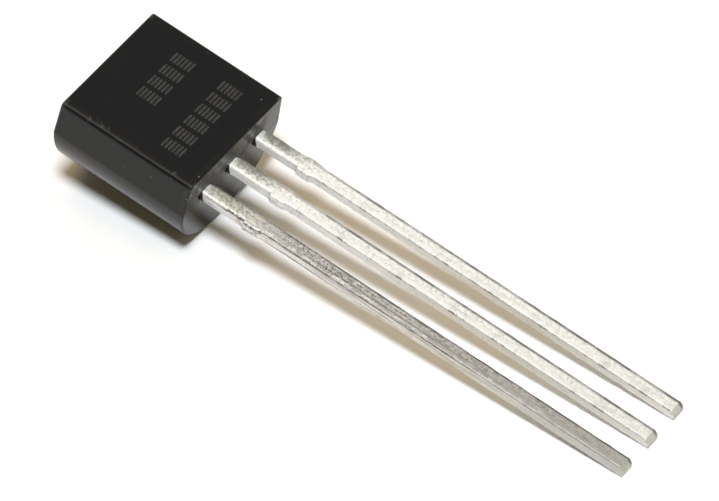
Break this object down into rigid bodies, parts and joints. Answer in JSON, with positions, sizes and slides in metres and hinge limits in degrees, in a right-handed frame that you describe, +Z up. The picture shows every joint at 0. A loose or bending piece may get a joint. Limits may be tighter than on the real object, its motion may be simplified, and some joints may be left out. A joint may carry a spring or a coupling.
{
  "type": "three-lead memory chip",
  "caption": "Small memory chip in a black D-shaped moulded body with a flat marked face, a round back and a row of long flat tinned leads.",
  "frame": {"origin": "on the table, under the centre of the lying chip's overall box", "axes": "+Z up from the table, +X from the body to the lead tips, +Y across the row of leads from the ground lead to the spare lead"},
  "size_m": [0.0186, 0.0046, 0.0039],
  "materials": {
    "moulding_compound": "black moulding compound, satin flat, smoother sides",
    "worn_tin": "tin plate, dulled and scratched",
    "bright_tin": "bright tin plate with a fine crystal grain",
    "silver_adhesive": "cured silver-filled adhesive",
    "silicon": "polished silicon",
    "gold_wire": "drawn gold wire"
  },
  "bodies": {
    "root": {"epoxy_body": "moulding_compound", "ground_lead": "worn_tin", "data_lead": "bright_tin", "spare_lead": "bright_tin", "die_attach": "silver_adhesive", "memory_die": "silicon", "data_bond_wire": "gold_wire", "ground_bond_wire": "gold_wire"}
  },
  "joints": []
}
